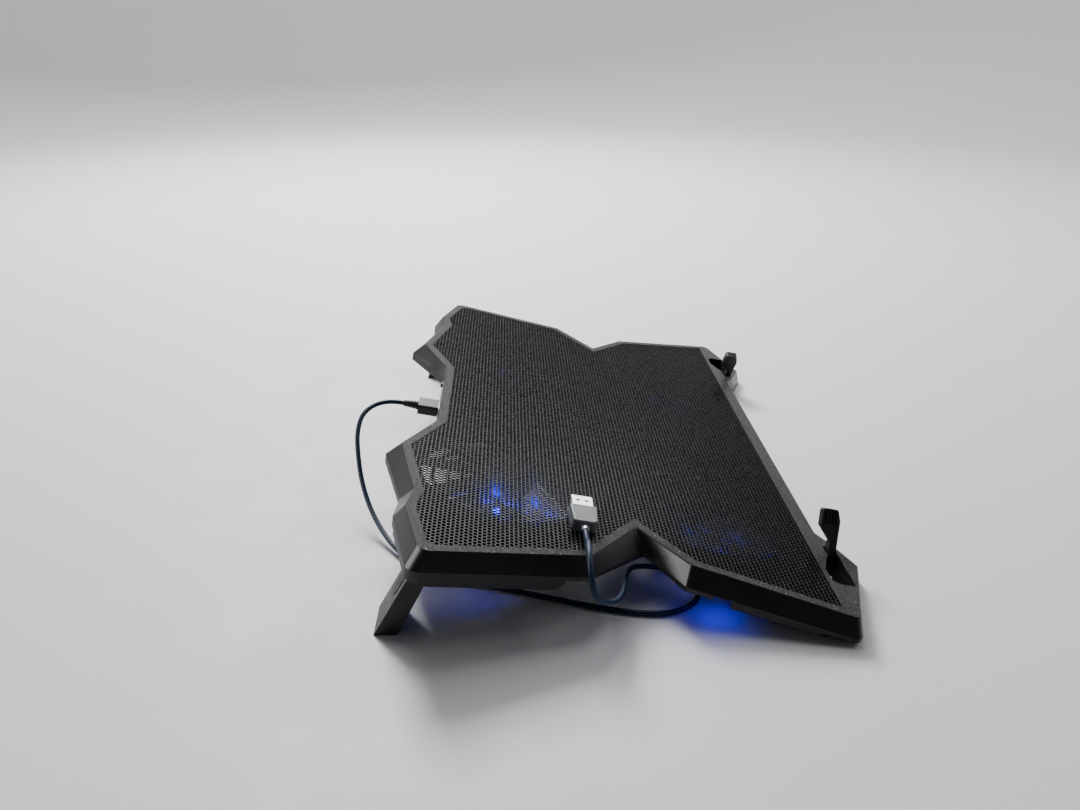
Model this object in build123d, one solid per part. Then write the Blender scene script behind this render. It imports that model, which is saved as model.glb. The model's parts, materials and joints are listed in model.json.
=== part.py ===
from build123d import *
import os
from math import cos, pi, radians, sin, tan

# Laptop cooling pad: a flat deck with four fans under a perforated metal panel, raised at the back on
# two fold-out legs, with two fold-out stoppers that keep the laptop from sliding off the front.
#
# Everything rigid is drawn in the deck frame, in millimetres: the origin is the middle of the deck's top
# face, +X is the user's right, +Y runs to the back and +Z out of the deck. `place` then tilts the deck
# and stands it on the table, which is z = 0.

# ---------------------------------------------------------------- driving dimensions
DECK_TILT = 10.8          # degrees, with the legs open
DECK_HEIGHT = 36.6        # from the table up to the deck frame's origin
DECK_BACK = -4.74         # the deck frame's origin along the table's Y
BAND = 9.6                # height of the upper shell's sloping side band
EDGE_CHAMFER = 0.6        # small chamfer round the deck
WALL = 2.4
SEAM = 0.3                # gap between neighbouring housing parts
SHELL_BOTTOM = -14.5      # outside of the lower shell
FLOOR = 2.0               # thickness of the lower shell's floor
POD_BOTTOM = -18.4        # outside of the two leg housings
RIM_BOTTOM = -12.5        # underside of the lower shell's edge, which is thinner than its middle
RIM_WIDTH = 5.0

# The left half of the deck's outline, from the middle of the back edge round to the middle of the
# front edge: the point at the top edge, the point at the foot of the side band, and the corner radius.
OUTLINE = [
    ((-46.0, 116.5), (-46.0, 117.5), 2.0),
    ((-86.0, 136.0), (-85.5, 144.5), 3.0),
    ((-139.0, 123.6), (-136.0, 130.0), 2.0),
    ((-157.0, 126.6), (-155.5, 132.0), 3.0),
    ((-198.5, 115.2), (-204.0, 119.5), 7.0),
    ((-180.0, 25.0), (-185.5, 25.0), 3.0),
    ((-143.5, -4.0), (-153.0, -10.0), 2.0),
    ((-174.5, -30.5), (-181.5, -28.5), 3.0),
    ((-202.0, -117.3), (-207.0, -119.5), 4.5),
    ((-149.0, -135.0), (-149.0, -139.0), 2.0),
    ((-128.0, -125.6), (-127.0, -129.0), 2.0),
    ((-118.0, -119.0), (-117.0, -122.0), 3.0),
]

# Perforated panel
PANEL_THICK = 1.0
PANEL_DROP = 0.3          # the panel sits just below the border
PANEL_BORDER = 6.2        # width of the grained border
PANEL_FRONT = -109.2      # front edge, behind the stoppers

# Fans
FAN_X = 93.0
FAN_REAR_Y, FAN_FRONT_Y = 68.0, -54.0
RING_R, RING_WALL = 57.5, 2.0
DUCT_R = 64.0             # opening in the plate under the panel
LEDGE = 2.5               # what the panel's edge rests on beside such an opening
ROTOR_R = 55.0
HUB_R = 19.0
BLADES = 9
BLADE_PITCH = 17.0
SHAFT_R = 1.5
SHAFT_CLEARANCE = 0.03
LED_R = 1.5
LED_ANGLES = (166.0, 196.0)

# Legs
LEG_X = (165.0, 190.0)    # inner and outer side
LEG_HINGE = (110.7, -15.0)
LEG_BARREL = 4.4
LEG_TOE_Y = 131.2
LEG_TOE_FLAT = 12.6
LEG_FOLD = 109.0
LEG_PIN_R = 1.5
LEG_GAP = 0.6             # side play of a leg in its housing

# Side edge of the lower shell
VENT_Y = (-53.0, -43.0)
LIP_Y = (-101.0, -53.0)

# Stoppers
STOP_HINGE = (-137.5, -3.0)
STOP_FRONT = -124.8       # straight front edge of the stopper
STOP_LENGTH = 27.5
STOP_NECK = 4.4
STOP_HEAD = 11.2
STOP_THICK = 5.0
STOP_LEAN = 25.0          # past upright, towards the laptop
STOP_GAP = 0.8
STOP_PIN_R = 1.0
RECESS_DEPTH = 6.4
RECESS_LENGTH = 33.6
RECESS_NECK = 6.2

# Rear hub
HUB_HALF = 43.0
HUB_WALL_Y = 116.5
BOARD_HALF = 40.8         # half width of the hub's board
BOARD_FRONT, BOARD_TOP = 98.0, -11.2
SOCKET_X = (-12.0, 12.0)
SOCKET_Z = -8.0
SWITCH_X = 32.0
SWITCH_TRAVEL = 4.0

# USB cable: its route in the table's frame, from the hub's strain relief to the far plug's ferrule
CABLE_D = 3.2
ON_TABLE = 1.75
CABLE_POINTS = [
    (-23.5, 161.0, 55.0),
    (-38.0, 164.0, 46.5),
    (-52.0, 162.0, 35.0),
    (-65.0, 158.5, 23.0),
    (-80.0, 152.0, 12.5),
    (-98.0, 142.0, 5.5),
    (-117.0, 129.5, 2.7),
    (-133.5, 114.0, ON_TABLE),
    (-145.0, 93.0, ON_TABLE),
    (-152.0, 68.0, ON_TABLE),
    (-161.5, 42.0, ON_TABLE),
    (-171.0, 16.5, ON_TABLE),
    (-177.5, -9.0, ON_TABLE),
    (-177.0, -28.0, ON_TABLE),
    (-167.0, -42.0, ON_TABLE),
    (-150.0, -45.5, ON_TABLE),
    (-136.5, -36.0, ON_TABLE),
    (-135.0, -19.5, 3.5),
    (-145.0, -8.0, 10.5),
    (-159.5, -1.5, 16.5),
    (-175.5, 4.0, 17.5),
    (-190.5, 8.5, 19.5),
    (-201.0, 13.0, 26.0),
    (-203.5, 17.0, 36.5),
    (-199.0, 20.5, 45.5),
    (-190.0, 22.0, 50.5),
    (-179.5, 22.0, 49.5),
]
CABLE_LEADS = (12.0, 8.0)  # straight lengths out of the hub's relief and out of the far ferrule
PLUG_AT = (-149.0, 28.0)  # middle of the plug's body on the panel, in the deck frame
PLUG_BODY = (18.0, 15.8, 7.6)
PLUG_NARROW = 13.4        # width of the body at the cable's end

# Fasteners and feet
SCREW_PLACES = [(152, 112), (26, 92), (160, 20), (170, -50), (167, -92), (30, -90)]
SCREW_R, SCREW_HEAD_R, SCREW_HEAD = 1.2, 2.4, 1.6
BOSS_R = 3.4
FOOT_AT = (187.0, -105.0)
FOOT_SIZE = (20.0, 8.0)


# ---------------------------------------------------------------- frames and outlines
place = Pos(0, DECK_BACK, DECK_HEIGHT) * Rot(DECK_TILT, 0, 0)
SIN_T, COS_T = sin(radians(DECK_TILT)), cos(radians(DECK_TILT))


def on_desk(x, y, z):
    """A deck-frame point in the table's frame."""
    return (place * Pos(x, y, z)).position


def mirror_x(shape):
    return mirror(shape, about=Plane.YZ)


def closed(level):
    """The whole outline at the top (0) or at the foot of the band (1), anticlockwise from above."""
    left = [corner[level] for corner in OUTLINE]
    return left + [(-x, y) for x, y in reversed(left)]


def radii(change=0.0):
    half = [max(corner[2] + change, 0.4) for corner in OUTLINE]
    return half + half[::-1]


def inset(points, distance):
    """Move every side of an anticlockwise polygon inwards."""
    lines = []
    for (ax, ay), (bx, by) in zip(points, points[1:] + points[:1]):
        length = ((bx - ax) ** 2 + (by - ay) ** 2) ** 0.5
        ux, uy = (bx - ax) / length, (by - ay) / length
        lines.append((ax - uy * distance, ay + ux * distance, ux, uy))
    moved = []
    for (ax, ay, aux, auy), (bx, by, bux, buy) in zip(lines[-1:] + lines[:-1], lines):
        step = ((bx - ax) * buy - (by - ay) * bux) / (aux * buy - auy * bux)
        moved.append((ax + aux * step, ay + auy * step))
    return moved


def outline_face(points, corner_radii, z):
    wire = FilletPolyline(*[(x, y, z) for x, y in points], radius=corner_radii, close=True)
    return Face(Wire(wire.edges()))


def layer(level, distance, z, change=0.0):
    return outline_face(inset(closed(level), distance), radii(change), z)


def prism(low, high, x, y):
    """A box from corner to corner: x and y are (from, to), low and high are its z levels."""
    size = (x[1] - x[0], y[1] - y[0], high - low)
    return Pos((x[0] + x[1]) / 2, (y[0] + y[1]) / 2, (low + high) / 2) * Box(*size)


def disc(radius, low, high, at=(0, 0)):
    return Pos(at[0], at[1], (low + high) / 2) * Cylinder(radius, high - low)


def tube(outer, inner, low, high, at=(0, 0)):
    return disc(outer, low, high, at) - disc(inner, low - 1, high + 1, at)


def sides(shape):
    """The shape and its mirror image, as two separate solids."""
    return [shape, mirror_x(shape)]


FANS = {
    "rear_left": (-FAN_X, FAN_REAR_Y),
    "rear_right": (FAN_X, FAN_REAR_Y),
    "front_left": (-FAN_X, FAN_FRONT_Y),
    "front_right": (FAN_X, FAN_FRONT_Y),
}
SCREWS = [(side * x, y) for x, y in SCREW_PLACES for side in (-1, 1)]
FLOOR_TOP = SHELL_BOTTOM + FLOOR
SHELL_RIM = -BAND - SEAM
PLATE_TOP = -PANEL_DROP - PANEL_THICK
PLATE_BOTTOM = PLATE_TOP - 1.3


# ---------------------------------------------------------------- perforated panel
def panel_face(grow, z):
    """The panel's outline: an even border at the sides and back, straight along the front."""
    top = layer(0, PANEL_BORDER - grow, z, -1.0)
    keep = Pos(0, 200 + PANEL_FRONT - grow, z) * Rectangle(420, 400)
    return (Sketch() + top) & keep


def mesh_panel():
    plate = extrude(panel_face(0, PLATE_TOP), PANEL_THICK)
    corners = plate.edges().filter_by(Axis.Z).group_by(Axis.Y)[0]
    return fillet(corners, 3.0)


# ---------------------------------------------------------------- stoppers
def stopper_recess():
    """Pocket in the deck that a folded stopper drops into, teardrop in plan."""
    x_end = STOP_HINGE[0] + 4.8
    x_tip = STOP_HINGE[0] - RECESS_LENGTH
    front = STOP_FRONT - STOP_GAP
    neck = STOP_FRONT + RECESS_NECK
    head = STOP_FRONT + STOP_HEAD + STOP_GAP + 0.4
    x_head = x_tip + STOP_HEAD + 3
    outline = Polyline(
        (x_end, front),
        (x_end, neck),
        (x_end - 9, neck),
        (x_head, head),
        (x_tip, head),
        (x_tip, front),
        close=True,
    )
    face = Face(Wire(outline.edges()))
    pocket = Pos(0, 0, -RECESS_DEPTH) * extrude(face, RECESS_DEPTH + 5, dir=(0, 0, 1))
    tip_edges = pocket.edges().filter_by(Axis.Z).group_by(Axis.X)[0]
    pocket = fillet(tip_edges.sort_by(Axis.Y)[-1:], 5.5)
    tip_edges = pocket.edges().filter_by(Axis.Z).group_by(Axis.X)[0]
    return fillet(tip_edges.sort_by(Axis.Y)[:1], 1.5)


def stopper_flat():
    """The left stopper as it lies folded in its recess, pointing outwards."""
    x0, z0 = STOP_HINGE
    tip, front = x0 - STOP_LENGTH, STOP_FRONT
    top = z0 + STOP_THICK / 2
    outline = Polyline(
        (x0, front),
        (x0, front + STOP_NECK),
        (x0 - 9.5, front + STOP_NECK),
        (tip + 10.0, front + STOP_HEAD),
        (tip, front + STOP_HEAD),
        (tip, front + 2.2),
        (tip + 6.5, front),
        close=True,
    )
    arm = Pos(0, 0, top - STOP_THICK) * extrude(Face(Wire(outline.edges())), STOP_THICK, dir=(0, 0, 1))
    corners = arm.edges().filter_by(Axis.Z).group_by(Axis.X)[0]
    arm = fillet(corners, 1.5)
    barrel = Pos(x0, front + STOP_NECK / 2, z0) * Rot(90, 0, 0) * Cylinder(STOP_THICK / 2, STOP_NECK)
    arm += barrel
    under = top - STOP_THICK
    for groove in range(4):
        low = front + 2.4 + groove * 2.1
        arm -= prism(under - 1, under + 0.8, (tip + 1.5, tip + 9.0), (low, low + 1.0))
    bore = Pos(x0, front + STOP_NECK / 2, z0) * Rot(90, 0, 0) * Cylinder(STOP_PIN_R + SHAFT_CLEARANCE, 40)
    return arm - bore


STOP_TRAVEL = 90 + STOP_LEAN
STOP_AXIS = Axis((STOP_HINGE[0], 0, STOP_HINGE[1]), (0, 1, 0))


def stopper():
    return stopper_flat().rotate(STOP_AXIS, STOP_TRAVEL)


def stopper_pin():
    low, high = STOP_FRONT - STOP_GAP - 1.6, STOP_FRONT + STOP_NECK + STOP_GAP + 2.0
    middle = (low + high) / 2
    return Pos(STOP_HINGE[0], middle, STOP_HINGE[1]) * Rot(90, 0, 0) * Cylinder(STOP_PIN_R, high - low)


RECESS_SCREW = (STOP_HINGE[0] - 17.5, STOP_FRONT + 7.2)


def recess_screw():
    x, y = RECESS_SCREW
    head = Pos(x, y, -RECESS_DEPTH - 0.35) * Cylinder(1.5, 0.7)
    shank = disc(0.9, -RECESS_DEPTH - 4.5, -RECESS_DEPTH - 0.7, (x, y))
    slot = Pos(x, y, -RECESS_DEPTH) * Box(2.2, 0.5, 0.6) + Pos(x, y, -RECESS_DEPTH) * Box(0.5, 2.2, 0.6)
    return head + shank - slot


# ---------------------------------------------------------------- upper shell
def hub_window(grow, low, high):
    """The opening for the hub's bezel in the middle of the rear wall."""
    half = HUB_HALF + grow
    return prism(low, high, (-half, half), (HUB_WALL_Y - 8, HUB_WALL_Y + 6))


def upper_shell():
    foot = layer(1, 0, -BAND)
    outer = loft([foot, layer(0, 0, -EDGE_CHAMFER)], ruled=True)
    outer += loft([layer(0, 0, -EDGE_CHAMFER), layer(0, EDGE_CHAMFER, 0, -EDGE_CHAMFER)], ruled=True)
    hollow = loft([layer(1, WALL, -BAND, -1.5), layer(0, WALL + 0.6, PLATE_BOTTOM, -1.5)], ruled=True)
    shell = outer - hollow
    shell -= extrude(panel_face(SEAM, PLATE_TOP), 5, dir=(0, 0, 1))
    ledge = extrude(panel_face(-LEDGE, PLATE_BOTTOM - 3), 8, dir=(0, 0, 1))
    for centre in FANS.values():
        shell -= disc(DUCT_R, -8, 0, centre) & ledge
    for room in sides(left_pocket()):
        shell -= room
    for x, y in SCREWS:
        shell += disc(BOSS_R, FLOOR_TOP + 0.05, PLATE_BOTTOM + 0.1, (x, y))
        shell -= disc(SCREW_R, SHELL_BOTTOM, FLOOR_TOP + 6.5, (x, y))
    for side in (1, -1):
        shell = shell + stopper_tub(side) - recess_cut(side)
    return shell - hub_window(0.2, -20, -3.0)


def stopper_tub(side):
    """Walls and floor under a recess, with the boss for its screw."""
    x, y = STOP_HINGE[0], STOP_FRONT
    tub = prism(-RECESS_DEPTH - 1.4, -1.0, (x - RECESS_LENGTH - 1.4, x + 6.2), (y - 1.9, y + STOP_HEAD + 2.6))
    tub += disc(2.4, FLOOR_TOP + 1, -RECESS_DEPTH, RECESS_SCREW)
    return tub if side > 0 else mirror_x(tub)


def recess_cut(side):
    x, y = RECESS_SCREW
    cut = stopper_recess() + stopper_pin()
    cut += disc(1.5, -RECESS_DEPTH - 0.7, -RECESS_DEPTH + 1, (x, y)) + disc(0.9, -RECESS_DEPTH - 5, -5, (x, y))
    return cut if side > 0 else mirror_x(cut)


# ---------------------------------------------------------------- legs
def on_table(y, height=0.0):
    """Deck-frame z of a point at deck-frame y that is `height` above the table."""
    return (height - DECK_HEIGHT - y * SIN_T) / COS_T


LEG_AXIS = Axis((0, *LEG_HINGE), (1, 0, 0))
LEG_MID = (LEG_X[0] + LEG_X[1]) / 2
LEG_WIDTH = LEG_X[1] - LEG_X[0]


def leg_profile():
    """The open leg seen from the side: barrel at the hinge, flat toe on the table."""
    y, z = LEG_HINGE
    toe_y, heel_y = LEG_TOE_Y, LEG_TOE_Y - LEG_TOE_FLAT
    blade = Polyline(
        (y + LEG_BARREL, z + 1.0),
        (y - LEG_BARREL, z - 1.0),
        (heel_y, on_table(heel_y)),
        (toe_y, on_table(toe_y)),
        close=True,
    )
    return blade, y, z


def side_extrude(face_yz, x0, x1):
    """Extrude a wire drawn as (deck y, deck z) from x0 to x1."""
    plane = Plane(origin=(x0, 0, 0), x_dir=(0, 1, 0), z_dir=(1, 0, 0))
    return extrude(plane * Face(Wire(face_yz.edges())), x1 - x0, dir=(1, 0, 0))


def leg_pad_shape(thick, grow=0.0):
    """A long rounded inlay on the leg's outer face, drawn on the open leg."""
    y, z = LEG_HINGE
    toe_y = LEG_TOE_Y
    run = Vector(0, toe_y - y - LEG_BARREL, on_table(toe_y) - z - 1.0).normalized()
    outward = Vector(0, -run.Z, run.Y)
    start = Vector(-LEG_MID, y + LEG_BARREL, z + 1.0) + run * 17.0
    plane = Plane(origin=start - outward * 0.9, x_dir=(1, 0, 0), z_dir=outward)
    return extrude(plane * SlotOverall(25.0 + 2 * grow, 12.5 + 2 * grow, rotation=90), thick)


def leg():
    blade, y, z = leg_profile()
    body = side_extrude(blade, -LEG_X[1], -LEG_X[0])
    body += Pos(-LEG_MID, y, z) * Rot(0, 90, 0) * Cylinder(LEG_BARREL, LEG_WIDTH)
    body -= Pos(-LEG_MID, y, z) * Rot(0, 90, 0) * Cylinder(LEG_PIN_R + SHAFT_CLEARANCE, LEG_WIDTH + 10)
    return body - leg_pad_shape(3.0, 0.25)


def leg_pad():
    return leg_pad_shape(1.25)


def leg_pin():
    y, z = LEG_HINGE
    return Pos(-LEG_MID, y, z) * Rot(0, 90, 0) * Cylinder(LEG_PIN_R, LEG_WIDTH + 2 * LEG_GAP + 4)


# ---------------------------------------------------------------- lower shell
LEG_POCKET_X = (-LEG_X[1] - LEG_GAP, -LEG_X[0] + LEG_GAP)
LEG_POCKET_Y = (57.0, 117.0)
LEG_POCKET_TOP = -7.0
POD_Y = (37.0, 150.0)


def left_pod():
    """Deeper housing round the folded leg, following the deck's side."""
    slab = extrude(layer(1, 0.3, POD_BOTTOM), SHELL_RIM - POD_BOTTOM, dir=(0, 0, 1))
    keep = prism(POD_BOTTOM - 1, SHELL_RIM + 1, (-230, LEG_POCKET_X[1] + 3.0), POD_Y)
    pod = slab & keep
    heel = Polyline(
        (109.5, POD_BOTTOM - 3),
        (109.5, POD_BOTTOM),
        (117.2, -16.2),
        (130, -16.2),
        (130, POD_BOTTOM - 3),
        close=True,
    )
    toe = Polyline(
        (POD_Y[0] - 1, POD_BOTTOM - 1),
        (POD_Y[0] + 4, POD_BOTTOM - 1),
        (POD_Y[0] - 1, RIM_BOTTOM),
        close=True,
    )
    return pod - side_extrude(heel, -240, -120) - side_extrude(toe, -240, -120)


def left_pocket():
    """Room that the leg folds into."""
    return prism(-40, LEG_POCKET_TOP, LEG_POCKET_X, LEG_POCKET_Y)


def pocket_box():
    x0, x1 = LEG_POCKET_X
    y0, y1 = LEG_POCKET_Y
    return prism(SHELL_BOTTOM, LEG_POCKET_TOP + 1.5, (x0 - 2.0, x1 + 2.0), (y0 - 2.0, y1 + 1.0))


def grille_cut(centre):
    """Air inlet of one fan: rings and four arms are left standing."""
    inlet = tube(RING_R - 2.5, HUB_R + 1.5, SHELL_BOTTOM - 1, FLOOR_TOP + 1)
    for ring in (28.0, 37.0, 46.0):
        inlet -= tube(ring + 1.0, ring - 1.0, SHELL_BOTTOM - 2, FLOOR_TOP + 2)
    for turn in (45, 135):
        inlet -= Rot(0, 0, turn) * Box(2 * RING_R, 5.0, 40)
    return Pos(*centre, 0) * inlet


def lower_shell():
    outer = extrude(layer(1, 0.3, SHELL_BOTTOM), SHELL_RIM - SHELL_BOTTOM, dir=(0, 0, 1))
    hollow = extrude(layer(1, 0.3 + WALL, FLOOR_TOP, -1.5), 20, dir=(0, 0, 1))
    shell = outer - hollow + rim_flange() + nose_floor()
    for centre in FANS.values():
        shell -= grille_cut(centre)
        shell += tube(RING_R + RING_WALL, RING_R, FLOOR_TOP - 0.5, PLATE_BOTTOM - 0.4, centre)
        for angle in LED_ANGLES:
            shell -= led_place(centre, angle) * Cylinder(LED_R + 0.05, 12)
    pod, box = left_pod(), pocket_box() & inner_limit()
    for part in sides(pod) + sides(box):
        shell += part
    for part in sides(left_pocket()) + sides(leg_pin()):
        shell -= part
    for x, y in SCREWS:
        shell -= disc(SCREW_R + 0.2, SHELL_BOTTOM - 8, 0, (x, y))
        shell -= disc(SCREW_HEAD_R + 0.2, SHELL_BOTTOM - 8, SHELL_BOTTOM + SCREW_HEAD - 0.4, (x, y))
    for part in sides(foot_block(0.3)):
        shell -= part
    for part in side_vents() + [thin_rim()]:
        shell -= part
    for name, centre in FANS.items():
        shell = shell + bearing_tube(centre) - lead_notch(name)
    return shell - hub_window(0.2, -12.0, 0) - table_clearance()


def inner_limit():
    """The lower shell's own outline, and above its rim the room inside the upper shell's wall."""
    below = extrude(layer(1, 0.3, SHELL_BOTTOM), SHELL_RIM - SHELL_BOTTOM, dir=(0, 0, 1))
    return below + extrude(layer(1, 6.8, SHELL_RIM - 1), 10, dir=(0, 0, 1))


def side_vents():
    """One slot through the lower shell's edge beside each front fan."""
    return sides(prism(SHELL_BOTTOM - 1, SHELL_RIM - 0.4, (-230, -176), VENT_Y))


def thin_rim():
    """What is cut from below along the edge: all of it but the two side lips and the leg housings."""
    ring = extrude(layer(1, -1, SHELL_BOTTOM - 1), RIM_BOTTOM - SHELL_BOTTOM + 1, dir=(0, 0, 1))
    ring -= extrude(layer(1, RIM_WIDTH, SHELL_BOTTOM - 2), 10, dir=(0, 0, 1))
    lip = Polyline(
        (LIP_Y[0], RIM_BOTTOM),
        (LIP_Y[0] + 4, SHELL_BOTTOM - 2),
        (LIP_Y[1], SHELL_BOTTOM - 2),
        (LIP_Y[1], RIM_BOTTOM),
        close=True,
    )
    for kept in sides(side_extrude(lip, -230, -150)):
        ring -= kept
    return ring - prism(-30, 0, (-230, 230), (POD_Y[0], POD_Y[1])) - hub_corner()


def rim_flange():
    """The floor's edge, raised to stay closed above the thin rim."""
    ring = extrude(layer(1, 0.3, RIM_BOTTOM), FLOOR, dir=(0, 0, 1))
    return ring - extrude(layer(1, RIM_WIDTH + FLOOR, RIM_BOTTOM - 1), 10, dir=(0, 0, 1)) - hub_corner()


def nose_floor():
    """Raised floor inside the front lobes, where the level floor would reach the table."""
    raised = extrude(layer(1, 0.5, RIM_BOTTOM - 0.4), 4.0, dir=(0, 0, 1))
    return raised & prism(-20, 0, (-230, 230), (-150, STOP_FRONT + 4.4)) & inner_limit()


def hub_corner():
    """The stretch of the rear edge that stays full depth, under the hub."""
    return prism(-30, 0, (-HUB_HALF - 22, HUB_HALF + 22), (85, 150))


def table_clearance():
    """What would come nearer than 0.8 mm to the table under the front edge."""
    return place.inverse() * (Pos(0, -100, -24.2) * Box(600, 180, 50))


def led_place(centre, angle):
    turn = angle if centre[0] < 0 else 180 - angle
    return Pos(*centre, -7.2) * Rot(0, 0, turn) * Pos(RING_R + 0.5, 0, 0) * Rot(0, 90, 0)


# ---------------------------------------------------------------- feet and fasteners
def foot_block(grow=0.0):
    """A wedge-shaped rubber foot, flat on the table, let into the lower shell."""
    long_side, short_side = FOOT_SIZE[0] + 2 * grow, FOOT_SIZE[1] + 2 * grow
    x, y = FOOT_AT
    middle = on_desk(-x, y, on_table(y))
    block = extrude(Pos(middle.X, middle.Y, 0) * SlotOverall(long_side, short_side), 12)
    limit = prism(-40, SHELL_BOTTOM + 0.8 + grow, (-230, -150), (-140, -60))
    return (place.inverse() * block) & limit


def case_screw(x, y):
    head = disc(SCREW_HEAD_R, SHELL_BOTTOM - 0.2, SHELL_BOTTOM + SCREW_HEAD - 0.4, (x, y))
    shank = disc(SCREW_R, SHELL_BOTTOM + 1, FLOOR_TOP + 6, (x, y))
    slots = [Pos(x, y, SHELL_BOTTOM - 0.2) * Rot(0, 0, turn) * Box(3.0, 0.6, 1.2) for turn in (0, 90)]
    return head + shank - slots[0] - slots[1]


# ---------------------------------------------------------------- fans
HUB_TOP, HUB_LOW = -3.6, -10.6
BEARING_R = 3.2
MAGNET_R = 17.6
CORE_R = 15.0
MOTOR_BOARD_R = 16.5


def rotor(centre):
    hub = disc(HUB_R, HUB_TOP - 1.2, HUB_TOP) + tube(HUB_R, MAGNET_R, HUB_LOW, HUB_TOP)
    hub += disc(3.0, HUB_TOP - 2.6, HUB_TOP - 1.0)
    hub = fillet(hub.edges().group_by(Axis.Z)[-1], 0.8)
    middle = (ROTOR_R + HUB_R) / 2
    vane = Pos(middle, 0, 0) * Rot(BLADE_PITCH, 0, 0) * Box(ROTOR_R - HUB_R + 14, 23.5, 1.2)
    vane = Pos(0, 0, (HUB_TOP + HUB_LOW) / 2 - 0.1) * Rot(0, 0, 8) * vane
    vane &= tube(ROTOR_R, HUB_R - 0.6, -20, 0)
    for step in range(BLADES):
        hub += Rot(0, 0, 360 / BLADES * step) * vane
    hub -= disc(SHAFT_R, HUB_TOP - 5, HUB_TOP - 0.5)
    return Pos(*centre, 0) * hub


def shaft(centre):
    return disc(SHAFT_R, -11.9, HUB_TOP - 0.5, centre)


def magnet(centre):
    return tube(MAGNET_R, MAGNET_R - 1.6, HUB_LOW + 0.4, HUB_TOP - 2.0, centre)


def bearing(centre):
    return tube(BEARING_R, SHAFT_R + SHAFT_CLEARANCE, FLOOR_TOP, -6.8, centre)


def bearing_tube(centre):
    return tube(BEARING_R + 1.2, BEARING_R, FLOOR_TOP - 0.3, -6.8, centre)


def motor_board(centre):
    return tube(MOTOR_BOARD_R, BEARING_R + 1.4, -12.3, -11.3, centre)


def stator_core(centre):
    """Iron core with four poles, each an arm and a curved shoe."""
    core = tube(7.0, BEARING_R + 1.2, -9.6, -7.4)
    for step in range(4):
        arm = Pos(10.2, 0, -8.5) * Box(8, 3.2, 2.2)
        shoe = tube(CORE_R, CORE_R - 1.4, -9.9, -7.1) & (Pos(CORE_R, 0, -8.5) * Box(12, 14, 4))
        core += Rot(0, 0, 90 * step) * (arm + shoe)
    return Pos(*centre, 0) * core


def stator_coils(centre):
    coils = []
    for step in range(4):
        coil = Pos(10.2, 0, -8.5) * (Box(5.2, 6.4, 4.2) - Box(8, 3.2, 2.2))
        coils.append(Pos(*centre, 0) * Rot(0, 0, 90 * step) * coil)
    return coils


def led(centre, angle):
    lamp = Pos(0, 0, 1.8) * Cylinder(LED_R, 4.6) + Pos(0, 0, -0.5) * Sphere(LED_R)
    return led_place(centre, angle) * lamp


LEAD_D = 1.0
LEAD_Z = FLOOR_TOP + LEAD_D / 2 + 0.05
RING_EXIT = (RING_R + 4.5) * cos(radians(45))


def lead_route(name):
    """From the motor board along a grille arm, out through the ring and to the hub's board."""
    side, back = (-1 if "left" in name else 1), "rear" in name
    x, y = FANS[name]
    start, out = (MOTOR_BOARD_R + 0.4) * cos(radians(45)), RING_EXIT
    points = [(x - side * start, y + start), (x - side * out, y + out)]
    if back:
        points += [(side * (BOARD_HALF + 0.8), 106.0)]
    else:
        points += [(side * 28.5, 20.0), (side * 28.5, 74.0), (side * 18.0, 86.0), (side * 18.0, BOARD_FRONT - 0.4)]
    return points


def lead(name):
    points = [(x, y, LEAD_Z) for x, y in lead_route(name)]
    path = FilletPolyline(*points, radius=3.0)
    return sweep(Plane(origin=path @ 0, z_dir=path % 0) * Circle(LEAD_D / 2), path=path)


def lead_notch(name):
    """Mouse hole in the fan's ring for its lead."""
    x, y = FANS[name]
    side = -1 if "left" in name else 1
    at = (RING_R + RING_WALL / 2) * cos(radians(45))
    return Pos(x - side * at, y + at, FLOOR_TOP + 1.0) * Rot(0, 0, -45 * side) * Box(6, 2.4, 2.4)


# ---------------------------------------------------------------- rear hub
SOCKET_OUT = (13.2, 5.7)
SOCKET_IN = (12.4, 5.0)
SOCKET_MOUTH, SOCKET_BACK = 116.8, 102.0
BEZEL_Y = (111.6, 113.0, 116.6)


def cuboid(x, z, width, height, y0, y1):
    """A box centred on (x, z) seen from behind, running from y0 to y1."""
    return Pos(x, (y0 + y1) / 2, z) * Box(width, y1 - y0, height)


def hub_bezel():
    z = (-3.2 - 11.8) / 2
    plate = cuboid(0, z, 2 * HUB_HALF - 0.2, 8.6, BEZEL_Y[1], BEZEL_Y[2])
    plate = chamfer(plate.faces().sort_by(Axis.Y)[-1].edges(), 0.4)
    plate += cuboid(0, z, 2 * HUB_HALF + 3, 9.0, BEZEL_Y[0], BEZEL_Y[1])
    for x in SOCKET_X:
        plate -= cuboid(x, SOCKET_Z, SOCKET_OUT[0] + 0.3, SOCKET_OUT[1] + 0.3, 100, 120)
    plate -= cuboid(SWITCH_X, SOCKET_Z, SWITCH_TRAVEL + 4.4, 3.4, 100, 120)
    return plate


def usb_socket(x):
    shell = cuboid(x, SOCKET_Z, *SOCKET_OUT, SOCKET_BACK, SOCKET_MOUTH)
    return shell - cuboid(x, SOCKET_Z, *SOCKET_IN, SOCKET_BACK + 0.5, SOCKET_MOUTH + 1)


def usb_tongue(x):
    back = cuboid(x, SOCKET_Z, SOCKET_IN[0], SOCKET_IN[1], SOCKET_BACK + 0.5, SOCKET_BACK + 3.5)
    return back + cuboid(x, SOCKET_Z + 1.0, 10.6, 1.6, SOCKET_BACK + 3.0, SOCKET_MOUTH - 1.6)


def hub_board():
    board = prism(BOARD_TOP - 1.2, BOARD_TOP, (-BOARD_HALF, BOARD_HALF), (BOARD_FRONT, BEZEL_Y[0] - 0.3))
    for x, y in ((-22, 103), (0, 102), (22, 104), (-34, 106)):
        board += prism(BOARD_TOP - 0.1, BOARD_TOP + 1.4, (x - 2.5, x + 2.5), (y - 3.0, y + 1.0))
    return board


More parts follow.
